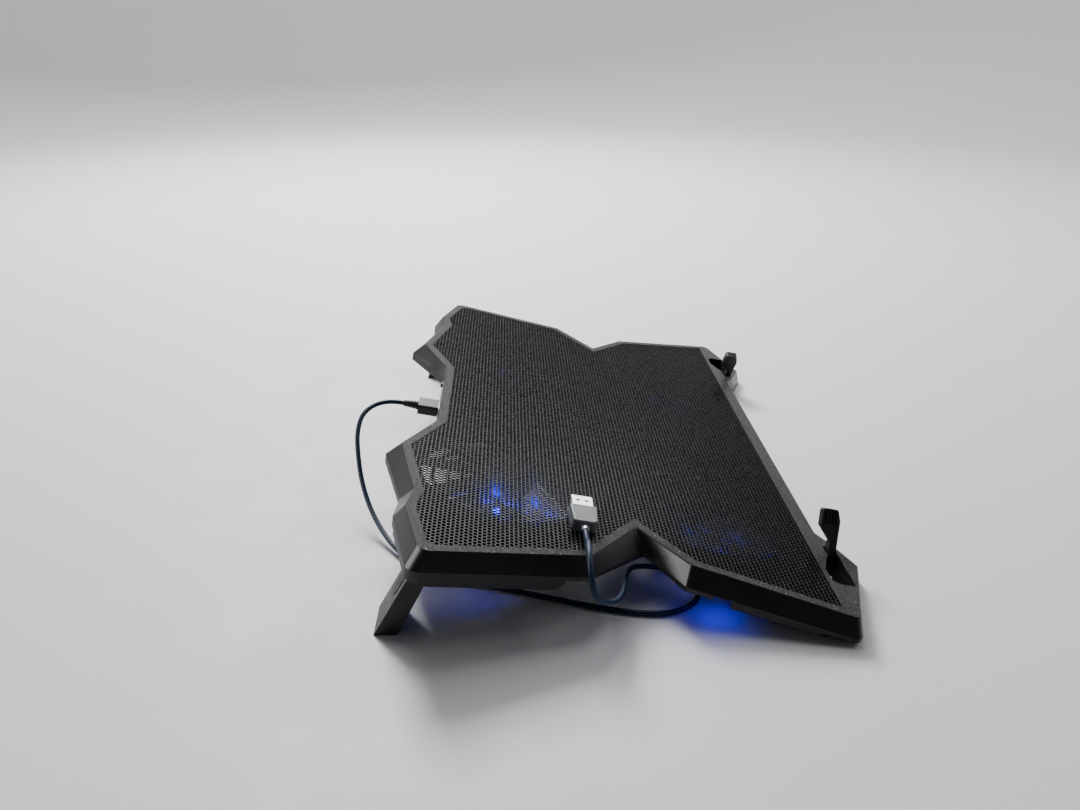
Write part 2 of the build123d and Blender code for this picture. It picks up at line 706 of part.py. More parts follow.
def switch_body():
    body = cuboid(SWITCH_X, SOCKET_Z, 12.5, 6.0, 104.5, BEZEL_Y[0] - 0.2)
    return body - cuboid(SWITCH_X, SOCKET_Z, SWITCH_TRAVEL + 4.4, 3.4, 107.0, 120)


def switch_slider():
    x = SWITCH_X - SWITCH_TRAVEL / 2
    knob = cuboid(x, SOCKET_Z, 3.6, 2.8, 107.4, 118.6)
    knob = chamfer(knob.faces().sort_by(Axis.Y)[-1].edges(), 0.5)
    for groove in (-0.9, 0.9):
        knob -= cuboid(x + groove, SOCKET_Z, 0.5, 3.4, 118.2, 119)
    return knob


# ---------------------------------------------------------------- cable and plugs
HUB_PLUG_Y = (117.4, 131.0, 141.5)
PLUG_SHELL = (12.0, 4.5)
FERRULE = (4.2, 2.2)


def plug_shell(width, height, length):
    """USB plug's metal shell along +Y from the origin, with its insulator half filling it."""
    outer = Pos(0, length / 2, 0) * Box(width, length, height)
    outer -= Pos(0, length / 2 + 1.0, 0) * Box(width - 0.7, length, height - 0.7)
    for x in (-2.6, 2.6):
        outer -= Pos(x, length - 5.0, height / 2) * Box(2.2, 2.2, 1.6)
    return outer


def plug_insulator(width, height, length):
    return Pos(0, length / 2 + 0.4, -height / 4) * Box(width - 0.8, length - 1.6, height / 2 - 0.8)


HUB_PLUG = Pos(SOCKET_X[0], HUB_PLUG_Y[0], SOCKET_Z) * Rot(0, 0, 180)
FAR_PLUG = Pos(PLUG_AT[0] + PLUG_BODY[0] / 2, PLUG_AT[1], PLUG_BODY[2] / 2 - PANEL_DROP + 0.05) * Rot(0, 0, -90)


def hub_plug_body():
    x = SOCKET_X[0]
    body = cuboid(x, SOCKET_Z, 15.0, 7.2, HUB_PLUG_Y[0], HUB_PLUG_Y[1])
    return fillet(body.edges().filter_by(Axis.Y), 1.8)


def hub_plug_relief():
    low, high = HUB_PLUG_Y[1], HUB_PLUG_Y[2]
    start = Plane(origin=(SOCKET_X[0], low, SOCKET_Z), x_dir=(1, 0, 0), z_dir=(0, 1, 0))
    relief = loft([start * Circle(3.1), start.offset(high - low) * Circle(2.1)])
    for ring in range(3):
        y = low + 2.4 + 2.8 * ring
        groove = Pos(SOCKET_X[0], y, SOCKET_Z) * Rot(90, 0, 0) * (Cylinder(6, 1.0) - Cylinder(1.9, 2.0))
        relief -= groove
    return relief


def far_plug_body():
    """Flat moulded grip, narrower at the cable's end than at the contacts, resting on the panel."""
    length, width, thick = PLUG_BODY
    wide, narrow = width / 2, PLUG_NARROW / 2
    outline = Polyline((-wide, 0), (wide, 0), (narrow, -length), (-narrow, -length), close=True)
    grip = extrude(Face(Wire(outline.edges())), thick / 2, both=True)
    corners = grip.edges().filter_by(Axis.Z).group_by(Axis.Y)[0]
    grip = fillet(corners, 3.0)
    grip = fillet(grip.faces().filter_by(Axis.Z).edges(), 0.9)
    return FAR_PLUG * grip


def far_ferrule():
    length, radius = FERRULE
    ring = Rot(90, 0, 0) * Cylinder(radius, length)
    return FAR_PLUG * Pos(0, -PLUG_BODY[0] - length / 2, 0) * ring


def cable_route():
    """Every point of the cable's route, from the hub's strain relief to the far plug's ferrule."""
    start = on_desk(SOCKET_X[0], HUB_PLUG_Y[2], SOCKET_Z)
    end = (place * FAR_PLUG * Pos(0, -PLUG_BODY[0] - FERRULE[0], 0)).position
    behind = on_desk(SOCKET_X[0], HUB_PLUG_Y[2] + CABLE_LEADS[0], SOCKET_Z)
    beside = end - Vector(CABLE_LEADS[1], 0, 0)
    return [start, behind] + [Vector(*point) for point in CABLE_POINTS] + [beside, end]


def cable_radii(points):
    found = []
    for a, b, c in zip(points, points[1:], points[2:]):
        turn = (b - a).get_angle(c - b)
        found.append(0.45 * min((b - a).length, (c - b).length) / tan(radians(turn / 2)))
    return found


def usb_cable():
    points = cable_route()
    path = FilletPolyline(*points, radius=cable_radii(points))
    return sweep(Plane(origin=path @ 0, z_dir=path % 0) * Circle(CABLE_D / 2), path=path), path


# ---------------------------------------------------------------- assembly
def in_deck():
    """Every piece drawn in the deck frame: node name to a list of solids."""
    nodes = {
        "upper_shell": [upper_shell()],
        "mesh_panel": [mesh_panel()],
        "lower_shell": [lower_shell()],
        "case_screws": [case_screw(x, y) for x, y in SCREWS],
        "front_feet": sides(foot_block()),
        "recess_screws": sides(recess_screw()),
        "fan_bearings": [bearing(centre) for centre in FANS.values()],
        "motor_boards": [motor_board(centre) for centre in FANS.values()],
        "stator_cores": [stator_core(centre) for centre in FANS.values()],
        "stator_coils": [coil for centre in FANS.values() for coil in stator_coils(centre)],
        "fan_leds": [led(centre, angle) for centre in FANS.values() for angle in LED_ANGLES],
        "hub_bezel": [hub_bezel()],
        "hub_board": [hub_board()],
        "usb_sockets": [usb_socket(x) for x in SOCKET_X],
        "usb_tongues": [usb_tongue(x) for x in SOCKET_X],
        "switch_body": [switch_body()],
        "switch_slider": [switch_slider()],
        "hub_plug_shell": [HUB_PLUG * plug_shell(*PLUG_SHELL, 11.0)],
        "hub_plug_insulator": [HUB_PLUG * plug_insulator(*PLUG_SHELL, 11.0)],
        "hub_plug_body": [hub_plug_body()],
        "hub_plug_relief": [hub_plug_relief()],
        "far_plug_shell": [FAR_PLUG * plug_shell(*PLUG_SHELL, 12.0)],
        "far_plug_insulator": [FAR_PLUG * plug_insulator(*PLUG_SHELL, 12.0)],
        "far_plug_body": [far_plug_body()],
        "far_plug_ferrule": [far_ferrule()],
    }
    for name, centre in FANS.items():
        nodes["rotor_" + name] = [rotor(centre)]
        nodes["shaft_" + name] = [shaft(centre)]
        nodes["magnet_" + name] = [magnet(centre)]
        nodes["lead_" + name] = [lead(name)]
    pairs = {"leg": leg, "leg_pad": leg_pad, "leg_pin": leg_pin, "stopper": stopper, "stopper_pin": stopper_pin}
    for name, make in pairs.items():
        left, right = sides(make())
        nodes[name + "_left"] = [left]
        nodes[name + "_right"] = [right]
    return nodes


def build():
    nodes = {}
    for name, shapes in in_deck().items():
        solids = [solid for shape in shapes for solid in (place * shape).solids()]
        nodes[name] = Compound(children=solids) if len(solids) > 1 else solids[0]
    nodes["usb_cable"] = usb_cable()[0].solids()[0]
    return nodes


if __name__ == "__main__":
    os.makedirs("parts", exist_ok=True)
    parts = build()
    for name, shape in parts.items():
        export_step(shape, f"parts/{name}.step")
    rigid = Compound([shape for name, shape in parts.items() if "cable" not in name and "far" not in name])
    print("object without its cable:", rigid.bounding_box())
    tube_length = usb_cable()[1].length
    ideal_volume = tube_length * pi * (CABLE_D / 2) ** 2
    print("cable length", round(tube_length, 1), "tightest", round(min(cable_radii(cable_route())), 1))
    print("cable volume over section times length", parts["usb_cable"].volume / ideal_volume)
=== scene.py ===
import json
from math import cos, pi, radians, sin, sqrt

import bmesh
import bpy
from mathutils import Matrix, Vector
from mathutils.bvhtree import BVHTree


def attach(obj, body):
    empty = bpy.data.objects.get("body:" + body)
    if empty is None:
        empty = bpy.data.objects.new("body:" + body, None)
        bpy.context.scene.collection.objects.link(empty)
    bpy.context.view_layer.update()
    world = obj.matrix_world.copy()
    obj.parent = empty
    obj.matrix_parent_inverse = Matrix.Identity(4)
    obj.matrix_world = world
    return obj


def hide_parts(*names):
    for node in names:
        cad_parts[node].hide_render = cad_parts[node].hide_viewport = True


# Looks of a laptop cooling pad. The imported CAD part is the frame; the pieces made here replace its
# perforated panel, its cable, the strain relief and the ferrule. Every other node keeps its shape and
# gets a finish.

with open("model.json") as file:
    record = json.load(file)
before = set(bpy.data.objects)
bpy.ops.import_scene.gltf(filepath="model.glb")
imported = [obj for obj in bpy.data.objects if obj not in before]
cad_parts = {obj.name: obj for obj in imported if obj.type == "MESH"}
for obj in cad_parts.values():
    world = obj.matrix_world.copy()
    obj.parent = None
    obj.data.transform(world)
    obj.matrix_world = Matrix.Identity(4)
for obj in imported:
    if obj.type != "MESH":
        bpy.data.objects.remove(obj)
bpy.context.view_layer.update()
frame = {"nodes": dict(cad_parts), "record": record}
nodes = frame["nodes"]
MM = 0.001

# The deck frame of the part: its origin is the middle of the deck's top face.
DECK_TILT = radians(10.8)
DECK = Matrix.Translation((0, -4.74 * MM, 36.6 * MM)) @ Matrix.Rotation(DECK_TILT, 4, "X")

CABLE_D = 0.0032
CABLE_LENGTH = 0.52


def show(made):
    """Puts an object into the scene."""
    bpy.context.scene.collection.objects.link(made)
    return made


# ---------------------------------------------------------------- camera
CAMERA_PLACE = (-0.5736, 0.0621, 0.3064)
CAMERA_TURN = (radians(65.71), radians(-0.37), radians(-91.9))
FOCAL_LENGTH, FILM_WIDTH = 29.77, 36       # millimetres


def make_camera():
    data = bpy.data.cameras.new("camera")
    data.lens = FOCAL_LENGTH
    data.sensor_width = FILM_WIDTH
    data.clip_start = 10 * MM
    camera = bpy.data.objects.new("camera", data)
    camera.location = CAMERA_PLACE
    camera.rotation_euler = CAMERA_TURN
    bpy.context.scene.camera = show(camera)


make_camera()


# ---------------------------------------------------------------- finishes
NOISE_RANGE = (0.3, 0.7)        # where nearly all of a noise's values lie
WIDE_NOISE_RANGE = (0.25, 0.75)


class Finish:
    """A Principled material with short chains of procedural nodes for colour, gloss and relief."""

    def __init__(self, name, colour, roughness, metallic=0.0):
        self.material = bpy.data.materials.new(name)
        self.material.use_nodes = True
        self.tree = self.material.node_tree
        self.shader = self.tree.nodes["Principled BSDF"]
        self.set("Base Color", (*colour, 1))
        self.set("Roughness", roughness)
        self.set("Metallic", metallic)
        coordinates = self.tree.nodes.new("ShaderNodeTexCoord")
        self.place = coordinates.outputs["Object"]
        self.normal = coordinates.outputs["Normal"]
        self.uv = coordinates.outputs["UV"]

    def set(self, socket, value):
        self.shader.inputs[socket].default_value = value

    def node(self, kind, inputs, output=0, **settings):
        """Adds a node, sets or links its inputs, and returns one of its outputs."""
        made = self.tree.nodes.new(kind)
        for key, value in settings.items():
            setattr(made, key, value)
        for key, value in inputs.items():
            if isinstance(value, bpy.types.NodeSocket):
                self.tree.links.new(value, made.inputs[key])
            else:
                made.inputs[key].default_value = value
        return made.outputs[output]

    def link(self, value, socket):
        self.tree.links.new(value, self.shader.inputs[socket])

    def math(self, operation, first, second=0.0):
        return self.node("ShaderNodeMath", {0: first, 1: second}, operation=operation)

    def noise(self, size, detail=3.0, place=None):
        """Noise whose lumps are about `size` metres across."""
        inputs = {"Vector": place or self.place, "Scale": 1 / size, "Detail": detail}
        return self.node("ShaderNodeTexNoise", inputs)

    def cells(self, size):
        """Distance to the edge of irregular cells about `size` metres across."""
        inputs = {"Vector": self.place, "Scale": 1 / size}
        return self.node("ShaderNodeTexVoronoi", inputs, feature="DISTANCE_TO_EDGE")

    def stretched(self, scale):
        return self.node("ShaderNodeMapping", {"Vector": self.place, "Scale": scale})

    def deck_place(self):
        """Object coordinates turned so that Z is the deck's normal; the origin stays."""
        turn = {"Vector": self.place, "Rotation": (-DECK_TILT, 0, 0)}
        return self.node("ShaderNodeMapping", turn, vector_type="POINT")

    def facing(self, direction, cosines):
        """0 to 1 as a face turns towards a direction, between two cosines."""
        inputs = {0: self.normal, 1: direction}
        dot = self.node("ShaderNodeVectorMath", inputs, 1, operation="DOT_PRODUCT")
        return self.span(dot, cosines, (0, 1))

    def span(self, value, old, new):
        """Maps a value from one range to another."""
        inputs = {0: value, 1: old[0], 2: old[1], 3: new[0], 4: new[1]}
        return self.node("ShaderNodeMapRange", inputs)

    def mix(self, factor, first, second):
        """Mixes two colours."""
        inputs = {0: factor, 6: first, 7: second}
        return self.node("ShaderNodeMix", inputs, 2, data_type="RGBA")

    def blend(self, factor, first, second):
        """Mixes two numbers."""
        return self.node("ShaderNodeMix", {0: factor, 2: first, 3: second}, 0, data_type="FLOAT")

    def bump(self, height, distance, strength=1.0, under=None):
        inputs = {"Height": height, "Distance": distance, "Strength": strength}
        if under:
            inputs["Normal"] = under
        return self.node("ShaderNodeBump", inputs)

    def vary_colour(self, first, second, size, detail=4.0):
        self.link(self.mix(self.noise(size, detail), (*first, 1), (*second, 1)), "Base Color")

    def vary_gloss(self, low, high, size):
        self.link(self.span(self.noise(size, 4.0), NOISE_RANGE, (low, high)), "Roughness")

    def relief(self, height, distance, strength=1.0):
        self.link(self.bump(height, distance, strength), "Normal")


# Heights along the deck's normal, in the coordinates of Finish.deck_place, where the deck's top face
# is at about 36.8 mm: the border's face fades in over the first pair, the recess floors with their
# painted shade over the second.
BORDER_HEIGHTS = (35.6 * MM, 36.2 * MM)
RECESS_HEIGHTS = (33.0 * MM, 34.5 * MM)
BORDER_COSINES = (0.985, 0.998)
FLOOR_COSINES = (0.9, 0.99)
PEBBLE = 0.95 * MM
BAND_SHINE, BORDER_SHINE, FLOOR_SHINE = 0.5, 0.24, 0.04
FLOOR_ROUGHNESS = 0.8


def deck_plastic():
    """Black moulding: leather grain on the flat border with its pebble tops painted lighter as a
    highlight, satin on the bands, dull recess floors painted darker as shade.
    """
    skin = Finish("deck_shell", (0.012, 0.012, 0.013), 0.4)
    up = (0, -sin(DECK_TILT), cos(DECK_TILT))
    height = skin.node("ShaderNodeSeparateXYZ", {0: skin.deck_place()}, 2)
    top = skin.span(height, BORDER_HEIGHTS, (0, 1))
    border = skin.math("MULTIPLY", skin.facing(up, BORDER_COSINES), top)
    above_floor = skin.span(height, RECESS_HEIGHTS, (0, 1))
    below = skin.math("SUBTRACT", 1.0, above_floor)
    floor = skin.math("MULTIPLY", skin.facing(up, FLOOR_COSINES), below)

    ridges = skin.span(skin.cells(PEBBLE), (0.02, 0.22), (0, 1))
    scuffs = skin.noise(18 * MM, 6)
    # The grain's pebble tops are coloured lighter than its hollows: a painted highlight on the grain's
    # own pattern.
    grain_painted_highlight = skin.mix(ridges, (0.005, 0.005, 0.006, 1), (0.026, 0.027, 0.029, 1))
    band_colour = skin.mix(scuffs, (0.008, 0.008, 0.009, 1), (0.014, 0.014, 0.016, 1))
    # Painted shade: the recess floors are coloured darker than the bands.
    recess_painted_shade = skin.mix(scuffs, (0.002, 0.002, 0.002, 1), (0.004, 0.004, 0.004, 1))
    below_border = skin.mix(floor, band_colour, recess_painted_shade)
    skin.link(skin.mix(border, below_border, grain_painted_highlight), "Base Color")

    shine = skin.blend(floor, skin.blend(border, BAND_SHINE, BORDER_SHINE), FLOOR_SHINE)
    skin.link(shine, "Specular IOR Level")
    grain_gloss = skin.span(skin.noise(3 * MM), NOISE_RANGE, (0.26, 0.42))
    scuffed_gloss = skin.span(scuffs, NOISE_RANGE, (0.28, 0.34))
    band_gloss = skin.blend(floor, scuffed_gloss, FLOOR_ROUGHNESS)
    skin.link(skin.blend(border, band_gloss, grain_gloss), "Roughness")

    fine = skin.bump(skin.noise(0.25 * MM, 2), 0.01 * MM, 0.5)
    grain = skin.math("MULTIPLY", ridges, border)
    skin.link(skin.bump(grain, 0.25 * MM, 1.0, fine), "Normal")
    return skin.material


def housing_plastic():
    """Dark grey satin moulding of the lower shell and the legs."""
    skin = Finish("base_shell", (0.03, 0.03, 0.032), 0.5)
    skin.vary_colour((0.011, 0.011, 0.012), (0.018, 0.018, 0.020), 30 * MM, 6)
    skin.set("Specular IOR Level", 0.35)
    skin.vary_gloss(0.4, 0.54, 9 * MM)
    skin.relief(skin.noise(0.35 * MM, 3), 0.02 * MM, 0.7)
    return skin.material


def stopper_plastic():
    skin = Finish("stopper_plastic", (0.014, 0.014, 0.015), 0.35)
    skin.vary_colour((0.010, 0.010, 0.011), (0.020, 0.020, 0.022), 12 * MM)
    skin.vary_gloss(0.28, 0.42, 5 * MM)
    skin.relief(skin.noise(0.3 * MM, 2), 0.012 * MM, 0.6)
    return skin.material


def plain_plastic(name, colour, gloss):
    """Small black or coloured mouldings: faint mottling and a sparked surface."""
    skin = Finish(name, colour, gloss)
    darker = tuple(value * 0.75 for value in colour)
    lighter = tuple(value * 1.2 for value in colour)
    skin.vary_colour(darker, lighter, 7 * MM)
    skin.vary_gloss(gloss - 0.07, gloss + 0.07, 3 * MM)
    skin.relief(skin.noise(0.22 * MM, 2), 0.012 * MM, 0.5)
    return skin.material


def fan_plastic():
    """Glossy rotor moulding with faint clouds in its colour and gloss."""
    skin = Finish("fan_plastic", (0.014, 0.014, 0.017), 0.28)
    skin.vary_colour((0.010, 0.010, 0.013), (0.022, 0.022, 0.027), 9 * MM)
    skin.vary_gloss(0.22, 0.36, 4 * MM)
    skin.relief(skin.noise(1.2 * MM, 2), 0.02 * MM, 0.3)
    return skin.material


def panel_paint():
    """Black enamel on perforated steel, uneven in colour and gloss."""
    paint = Finish("mesh", (0.02, 0.02, 0.022), 0.3, 0.15)
    paint.vary_colour((0.007, 0.007, 0.008), (0.030, 0.031, 0.033), 2.2 * MM, 5)
    paint.vary_gloss(0.2, 0.38, 1.6 * MM)
    paint.relief(paint.noise(0.4 * MM, 3), 0.02 * MM, 0.5)
    paint.set("Specular IOR Level", 0.22)
    return paint.material


def rubber():
    skin = Finish("rubber", (0.02, 0.02, 0.021), 0.75)
    skin.vary_colour((0.014, 0.014, 0.015), (0.030, 0.030, 0.031), 5 * MM)
    skin.vary_gloss(0.62, 0.85, 2 * MM)
    skin.relief(skin.noise(0.5 * MM, 4), 0.04 * MM, 0.8)
    return skin.material


def metal(name, colour, gloss, lines, size):
    """Bare or plated metal: fine drawing lines along X and small clouds in the gloss."""
    skin = Finish(name, colour, gloss, 1.0)
    darker = tuple(value * 0.7 for value in colour)
    drawn = skin.noise(size, 4, skin.stretched((0.06, 1, 1)))
    skin.link(skin.mix(drawn, (*darker, 1), (*colour, 1)), "Base Color")
    skin.link(skin.span(drawn, WIDE_NOISE_RANGE, (gloss * 0.7, gloss * 1.4)), "Roughness")
    skin.relief(drawn, lines)
    return skin.material


def circuit_board():
    """Green solder mask over copper tracks."""
    skin = Finish("circuit_board", (0.01, 0.09, 0.035), 0.3)
    tracks = {
        "Vector": skin.place,
        "Scale": 420.0,
        "Mortar Size": 0.08,
        "Color1": (0.012, 0.10, 0.04, 1),
        "Color2": (0.008, 0.07, 0.028, 1),
        "Mortar": (0.03, 0.19, 0.07, 1),
    }
    skin.link(skin.node("ShaderNodeTexBrick", tracks), "Base Color")
    skin.vary_gloss(0.2, 0.4, 2 * MM)
    skin.relief(skin.noise(0.6 * MM, 3), 0.02 * MM)
    return skin.material


def copper_winding():
    wire = Finish("copper", (0.55, 0.2, 0.07), 0.3, 0.9)
    turns = {"Vector": wire.deck_place(), "Scale": 500.0, "Distortion": 0.6}
    wave = wire.node("ShaderNodeTexWave", turns, 1, bands_direction="Z")
    wire.link(wire.mix(wave, (0.22, 0.06, 0.02, 1), (0.68, 0.27, 0.1, 1)), "Base Color")
    wire.relief(wave, 0.15 * MM)
    return wire.material


def led_lens():
    """Lit blue lens, its blue a little uneven."""
    lens = Finish("led", (0.02, 0.05, 0.9), 0.15)
    glow = lens.mix(lens.noise(1.1 * MM), (0.0, 0.004, 1.0, 1), (0.02, 0.05, 1.0, 1))
    lens.link(glow, "Emission Color")
    lens.set("Emission Strength", 30.0)
    lens.set("Transmission Weight", 0.3)
    return lens.material


BRAID_PITCH = 2.6 * MM
STRANDS_ROUND = 4.0


def braid():
    """Blue and black braid in a clear sheath, drawn along the cable's own UV map, with painted shade in
    the dips between strands.
    """
    skin = Finish("cable", (0.02, 0.06, 0.2), 0.35)
    axes = skin.node("ShaderNodeSeparateXYZ", {0: skin.uv})
    along, around = axes, axes.node.outputs[1]
    rise = skin.math("MULTIPLY", along, CABLE_LENGTH / BRAID_PITCH)
    strands = []
    for lean in ("ADD", "SUBTRACT"):
        turn = skin.math(lean, skin.math("MULTIPLY", around, STRANDS_ROUND), rise)
        wave = skin.math("SINE", skin.math("MULTIPLY", turn, pi))
        strands.append(skin.math("ABSOLUTE", wave))
    over = skin.math("GREATER_THAN", *strands)
    height = skin.math("MAXIMUM", *strands)
    threads = skin.mix(over, (0.003, 0.006, 0.014, 1), (0.006, 0.050, 0.17, 1))
    # Painted shade: the dips between the strands' crowns are coloured near black.
    unshaded_crowns = skin.span(height, (0.72, 1.0), (0, 1))
    skin.link(skin.mix(unshaded_crowns, (0.001, 0.002, 0.005, 1), threads), "Base Color")
    skin.relief(height, 0.16 * MM, 0.8)
    skin.set("Specular IOR Level", 0.25)
    return skin.material


finishes = {
    "deck_shell": deck_plastic(),
    "base_shell": housing_plastic(),
    "stopper_plastic": stopper_plastic(),
    "mesh": panel_paint(),
    "rubber": rubber(),
    "black_steel": metal("black_steel", (0.09, 0.09, 0.095), 0.4, 0.02 * MM, 1.5 * MM),
    "bright_steel": metal("bright_steel", (0.66, 0.67, 0.69), 0.22, 0.01 * MM, 1.2 * MM),
    "brass": metal("brass", (0.62, 0.42, 0.16), 0.3, 0.02 * MM, 1.0 * MM),
    "iron": metal("iron", (0.3, 0.3, 0.32), 0.45, 0.05 * MM, 0.5 * MM),
    "magnet": metal("magnet", (0.12, 0.12, 0.13), 0.55, 0.05 * MM, 2.0 * MM),
    "circuit_board": circuit_board(),
    "copper": copper_winding(),
    "led": led_lens(),
    "black_plastic": plain_plastic("black_plastic", (0.014, 0.014, 0.015), 0.42),
    "blue_plastic": plain_plastic("blue_plastic", (0.02, 0.06, 0.36), 0.4),
    "plug_black": plain_plastic("plug_black", (0.013, 0.013, 0.014), 0.45),
    "plug_grey": plain_plastic("plug_grey", (0.12, 0.13, 0.14), 0.4),
    "fan_plastic": fan_plastic(),
    "lead": plain_plastic("lead", (0.25, 0.012, 0.012), 0.35),
    "cable": braid(),
}

for entry in frame["record"]["subparts"]:
    mesh = nodes[entry["node"]].data
    mesh.materials.clear()
    mesh.materials.append(finishes[entry["material_slot"]])


# ---------------------------------------------------------------- making pieces
def smooth_mesh(name, mesh):
    """Turns a bmesh into a smooth-shaded mesh and frees it."""
    data = bpy.data.meshes.new(name)
    mesh.to_mesh(data)
    mesh.free()
    data.polygons.foreach_set("use_smooth", [True] * len(data.polygons))
    return data


def make_piece(name, mesh, slot, sharp):
    """Turns a bmesh drawn in the table's frame into a finished piece, sharp past an angle."""
    bmesh.ops.recalc_face_normals(mesh, faces=mesh.faces)
    data = smooth_mesh(name, mesh)
    data.set_sharp_from_angle(angle=radians(sharp))
    data.materials.append(finishes[slot])
    piece = show(bpy.data.objects.new(name, data))
    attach(piece, "root")
    return piece


def lathe(mesh, profile, steps=40):
    """Spins a profile of (radius, height) once round Z."""
    verts = [mesh.verts.new((radius, 0, height)) for radius, height in profile]
    edges = [mesh.edges.new(pair) for pair in zip(verts, verts[1:])]
    turn = {"cent": (0, 0, 0), "axis": (0, 0, 1), "angle": 2 * pi, "steps": steps}
    bmesh.ops.spin(mesh, geom=verts + edges, use_merge=True, **turn)
    bmesh.ops.remove_doubles(mesh, verts=mesh.verts, dist=1e-6)


def lathe_sleeve(profile, place):
    """A turned sleeve from a profile in millimetres, moved to its place."""
    mesh = bmesh.new()
    lathe(mesh, [(radius * MM, height * MM) for radius, height in profile])
    bmesh.ops.transform(mesh, verts=mesh.verts, matrix=place)
    return mesh


# ---------------------------------------------------------------- cable
HUB_EXIT = (-0.012, 0.135753, 0.055256)
CABLE_ROUTE = [
    HUB_EXIT,
    (-0.012, 0.14754, 0.057505),
    (-0.0235, 0.161, 0.055),
    (-0.038, 0.164, 0.0465),
    (-0.052, 0.162, 0.035),
    (-0.065, 0.1585, 0.023),
    (-0.08, 0.152, 0.0125),
    (-0.098, 0.142, 0.0055),
    (-0.117, 0.1295, 0.0027),
    (-0.1335, 0.114, 0.00175),
    (-0.145, 0.093, 0.00175),
    (-0.152, 0.068, 0.00175),
    (-0.1615, 0.042, 0.00175),
    (-0.171, 0.0165, 0.00175),
    (-0.1775, -0.009, 0.00175),
    (-0.177, -0.028, 0.00175),
    (-0.167, -0.042, 0.00175),
    (-0.15, -0.0455, 0.00175),
    (-0.1365, -0.036, 0.00175),
    (-0.135, -0.0195, 0.0035),
    (-0.145, -0.008, 0.0105),
    (-0.1595, -0.0015, 0.0165),
    (-0.175, 0.0015, 0.0195),
    (-0.189, 0.0045, 0.0215),
    (-0.199, 0.0115, 0.0245),
    (-0.204, 0.0195, 0.0315),
    (-0.2015, 0.0225, 0.043),
    (-0.191, 0.0225, 0.05),
    (-0.1795, 0.022, 0.0495),
    (-0.1702, 0.0221, 0.045334),
    (-0.1622, 0.0221, 0.045334),
]


def make_cable():
    data = bpy.data.curves.new("cable", "CURVE")
    data.dimensions = "3D"
    line = data.splines.new("NURBS")
    line.points.add(len(CABLE_ROUTE) - 1)
    for point, place in zip(line.points, CABLE_ROUTE):
        point.co = (*place, 1)
    line.order_u = 3
    line.use_endpoint_u = True
    line.resolution_u = 10
    line.use_smooth = True
    data.bevel_depth = CABLE_D / 2
    data.bevel_resolution = 5
    data.use_fill_caps = True
    data.materials.append(finishes["cable"])
    cable = show(bpy.data.objects.new("cable", data))
    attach(cable, "root")
    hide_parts("usb_cable")
    return cable


cable = make_cable()


# ---------------------------------------------------------------- plugs
HUB_PLUG_END = DECK @ Vector((-0.012, 0.131, -0.008))
FAR_PLUG = DECK @ Matrix.Translation((-0.14, 0.028, 3.55 * MM)) @ Matrix.Rotation(radians(-90), 4, "Z")
FAR_PLUG_LENGTH = 18 * MM

# Millimetres, from the plug's end onto the cable.
BORE = 1.64
RELIEF_FOOT, RELIEF_RADIUS = 0.05, 3.1
RIBS, RIB_PITCH, RIB_TAPER, GROOVE = 5, 2.0, 0.19, 0.5
RELIEF_TIP = [(2.0, 10.3), (1.75, 10.45), (BORE, 10.45)]
FERRULE = [
    (BORE, 0), (2.0, 0), (2.2, 0.2), (2.2, 1.1), (2.0, 1.3),
    (2.0, 1.7), (2.2, 1.9), (2.2, 2.7), (2.0, 2.9), (2.0, 3.2),
    (2.15, 3.4), (2.15, 3.9), (1.9, 4.15), (BORE, 4.15), (BORE, 0),
]


def hub_relief():
    """Ribbed strain relief that tapers from the plug's body onto the cable."""
    profile = [(BORE, RELIEF_FOOT), (RELIEF_RADIUS, RELIEF_FOOT)]
    for rib in range(RIBS):
        radius, low = RELIEF_RADIUS - RIB_TAPER * rib, 0.1 + RIB_PITCH * rib
        profile += [(radius, low + 0.3), (radius, low + 1.2)]
        profile += [(radius - GROOVE, low + 1.4), (radius - GROOVE, low + 1.9)]
    profile += RELIEF_TIP + [(BORE, RELIEF_FOOT)]
    turn = Matrix.Rotation(DECK_TILT, 4, "X") @ Matrix.Rotation(radians(-90), 4, "X")
    mesh = lathe_sleeve(profile, Matrix.Translation(HUB_PLUG_END) @ turn)
    piece = make_piece("strain_relief", mesh, "plug_black", 40)
    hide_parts("hub_plug_relief")
    return piece


def far_ferrule():
    """Crimped metal sleeve between the free plug and the cable."""
    behind = Matrix.Translation((0, -FAR_PLUG_LENGTH, 0)) @ Matrix.Rotation(radians(90), 4, "X")
    piece = make_piece("ferrule", lathe_sleeve(FERRULE, FAR_PLUG @ behind), "bright_steel", 30)
    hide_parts("far_plug_ferrule")
    return piece


plug_pieces = [hub_relief(), far_ferrule()]
plug_nodes = ["hub_plug_shell", "hub_plug_insulator", "hub_plug_body"]
plug_nodes += ["far_plug_shell", "far_plug_insulator", "far_plug_body"]


# ---------------------------------------------------------------- perforated panel
PITCH = 2.8 * MM
ROW = PITCH * sqrt(3) / 2
SHEET_TOP, SHEET_BOTTOM = -0.3 * MM, -1.3 * MM
REACH = 1.7 * MM                # how far the sheet goes on under the border
COLUMNS = 69                    # at least this many holes in a row, from the middle line outwards
REAR_ROWS, FRONT_ROWS = (4, 26), (-46, 25)      # lowest row, pairs of rows above it
QUARTERS = {
    "rear_left": (-1, *REAR_ROWS),
    "rear_right": (1, *REAR_ROWS),
    "front_left": (-1, *FRONT_ROWS),
    "front_right": (1, *FRONT_ROWS),
}

# A hole with the metal round it: corner radii in millimetres.
CELL_RADIUS = 1.617
HOLE_RADIUS, HOLE_NECK, HOLE_FOOT = 1.42, 1.3, 1.27
NECK_DEPTH = 0.14 * MM


